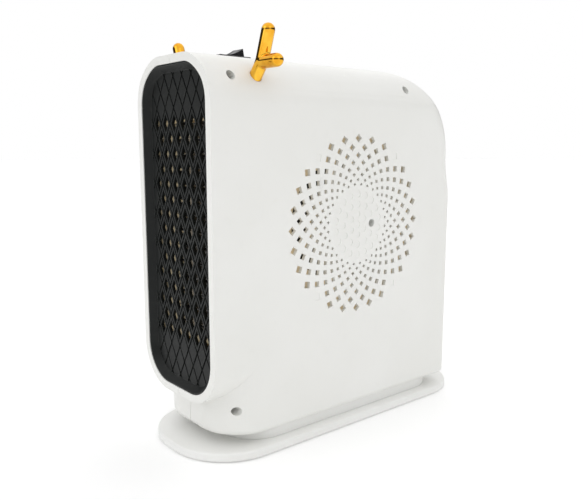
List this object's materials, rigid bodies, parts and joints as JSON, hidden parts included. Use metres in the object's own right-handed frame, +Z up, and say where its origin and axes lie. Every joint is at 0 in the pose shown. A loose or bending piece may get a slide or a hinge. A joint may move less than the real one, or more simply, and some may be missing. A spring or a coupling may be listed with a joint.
{
  "type": "fan heater",
  "caption": "Slim upright fan heater with side intake rosette, tall lattice outlet grille, rocker switch and antler ornaments on a flat base.",
  "frame": {"origin": "middle of the base plate, on the surface that the rubber feet stand on", "axes": "+Z up along the tall side; +X to the side with the intake rosette, across the thin body; the outlet grille faces -Y"},
  "size_m": [0.1148, 0.231, 0.2449],
  "materials": {
    "shell_white": "satin, off-white",
    "grille_black": "fine matt",
    "base_white": "satin, off-white",
    "rubber": "matt",
    "screw_steel": "bright zinc",
    "antler_gold": "gold-coloured mirror plating",
    "switch_black": "semi-gloss",
    "rocker_black": "semi-gloss",
    "terminal_brass": "bare",
    "housing_cream": "matt",
    "fan_black": "matt",
    "motor_steel": "semi-matt",
    "shaft_steel": "ground",
    "heater_frame": "heat-resistant, matt",
    "element_ceramic": "sleeved",
    "fin_aluminium": "mill finish",
    "thermostat_black": "bakelite",
    "gland_black": "matt"
  },
  "bodies": {
    "root": {"right_shell": "shell_white", "left_shell": "shell_white", "front_grille": "grille_black", "base_plate": "base_white", "base_riser": "base_white", "rubber_feet": "rubber", "base_screws": "screw_steel", "shell_screws": "screw_steel", "antler_right": "antler_gold", "antler_left": "antler_gold", "antler_screws": "screw_steel", "switch_body": "switch_black", "switch_terminals": "terminal_brass", "inlet_cover": "housing_cream", "scroll_housing": "housing_cream", "fan_screws": "screw_steel", "air_duct": "housing_cream", "motor": "motor_steel", "motor_screws": "screw_steel", "heater_frame": "heater_frame", "heater_elements": "element_ceramic", "heater_fins": "fin_aluminium", "heater_terminals": "terminal_brass", "thermostat": "thermostat_black", "thermal_fuse": "terminal_brass", "terminal_block": "housing_cream", "cord_gland": "gland_black"},
    "rocker": {"switch_rocker": "rocker_black"},
    "fan_rotor": {"impeller": "fan_black", "motor_shaft": "shaft_steel"}
  },
  "joints": [
    {"name": "rocker_tilt", "type": "hinge", "parent": "root", "child": "rocker", "pos_m": [0, -0.06935, 0.2304], "axis": [1, 0, 0], "range_deg": [-30, 0]},
    {"name": "fan_spin", "type": "hinge", "parent": "root", "child": "fan_rotor", "pos_m": [0, 0.00015, 0.1311], "axis": [1, 0, 0], "continuous": true}
  ]
}
